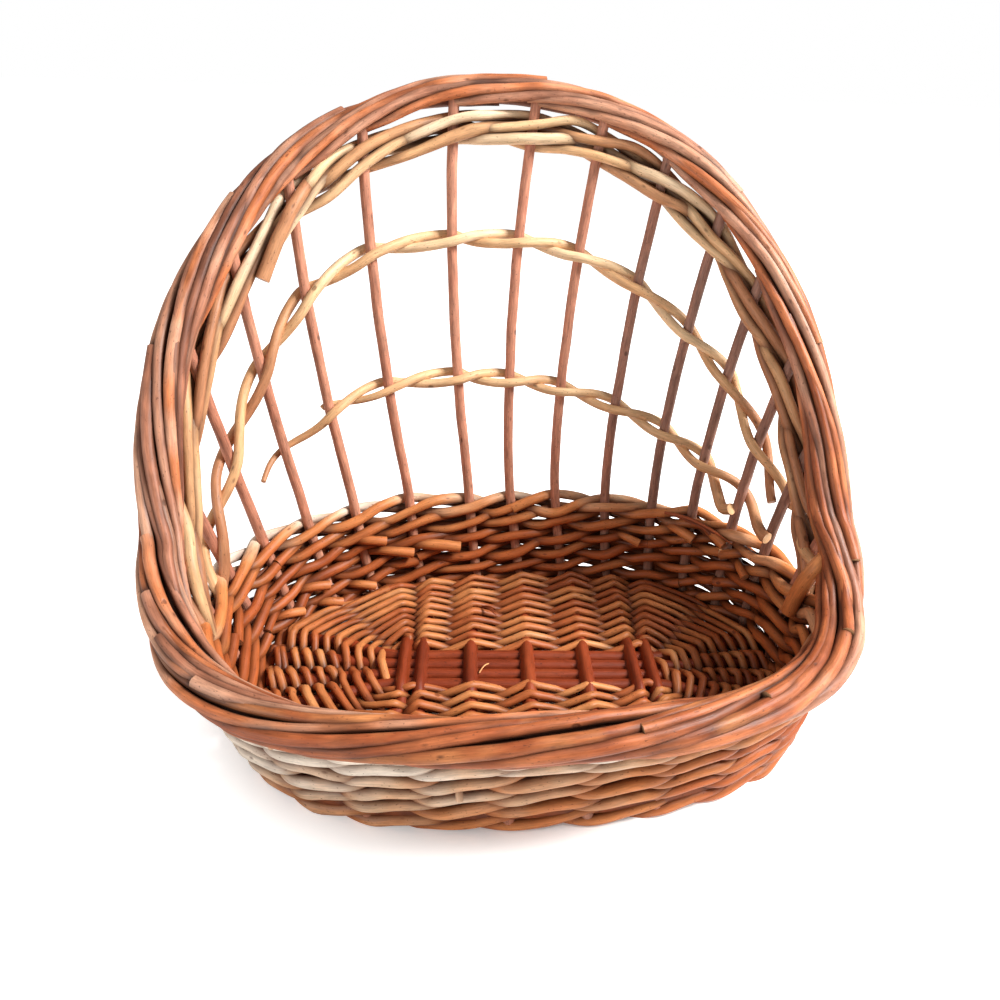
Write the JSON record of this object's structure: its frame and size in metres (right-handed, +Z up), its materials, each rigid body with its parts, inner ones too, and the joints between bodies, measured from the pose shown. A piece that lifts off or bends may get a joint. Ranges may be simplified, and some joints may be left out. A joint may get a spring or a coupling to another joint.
{
  "type": "hooded wicker basket",
  "caption": "Free-standing oval willow basket with a low woven wall, a high open hood of crossed rods at the back and a thick rolled border, for things seen and reached from the front.",
  "frame": {"origin": "on the floor under the middle of the crossed base sticks", "axes": "+X to the right of someone who faces the open front, +Y towards the hood's back, +Z up"},
  "size_m": [0.4543, 0.3616, 0.3805],
  "materials": {
    "base_sticks": "buff willow, deep red-orange brown, satin",
    "base_weave": "buff willow, orange brown, satin",
    "wall_weave": "buff willow, orange brown inside and paler outside, satin",
    "stakes": "buff willow, mottled pinkish red brown, satin",
    "rows": "white willow, honey to cream, satin",
    "border": "buff willow, pinkish to orange brown, satin"
  },
  "bodies": {
    "root": {"base_long_stick_1": "base_sticks", "base_long_stick_2": "base_sticks", "base_long_stick_3": "base_sticks", "base_long_stick_4": "base_sticks", "base_short_stick_1": "base_sticks", "base_short_stick_2": "base_sticks", "base_short_stick_3": "base_sticks", "base_short_stick_4": "base_sticks", "base_short_stick_5": "base_sticks", "base_short_stick_6": "base_sticks", "base_short_stick_7": "base_sticks", "base_weave": "base_weave", "stake_01": "stakes", "stake_02": "stakes", "stake_03": "stakes", "stake_04": "stakes", "stake_05": "stakes", "stake_06": "stakes", "stake_07": "stakes", "stake_08": "stakes", "stake_09": "stakes", "stake_10": "stakes", "stake_11": "stakes", "stake_12": "stakes", "stake_13": "stakes", "stake_14": "stakes", "stake_15": "stakes", "stake_16": "stakes", "stake_17": "stakes", "stake_18": "stakes", "stake_19": "stakes", "stake_20": "stakes", "stake_21": "stakes", "stake_22": "stakes", "stake_23": "stakes", "stake_24": "stakes", "stake_25": "stakes", "stake_26": "stakes", "stake_27": "stakes", "wall_weave": "wall_weave", "upper_row_rod_1": "rows", "upper_row_rod_2": "rows", "lower_row_rod_1": "rows", "lower_row_rod_2": "rows", "hood_band": "rows", "border": "border"}
  },
  "joints": []
}
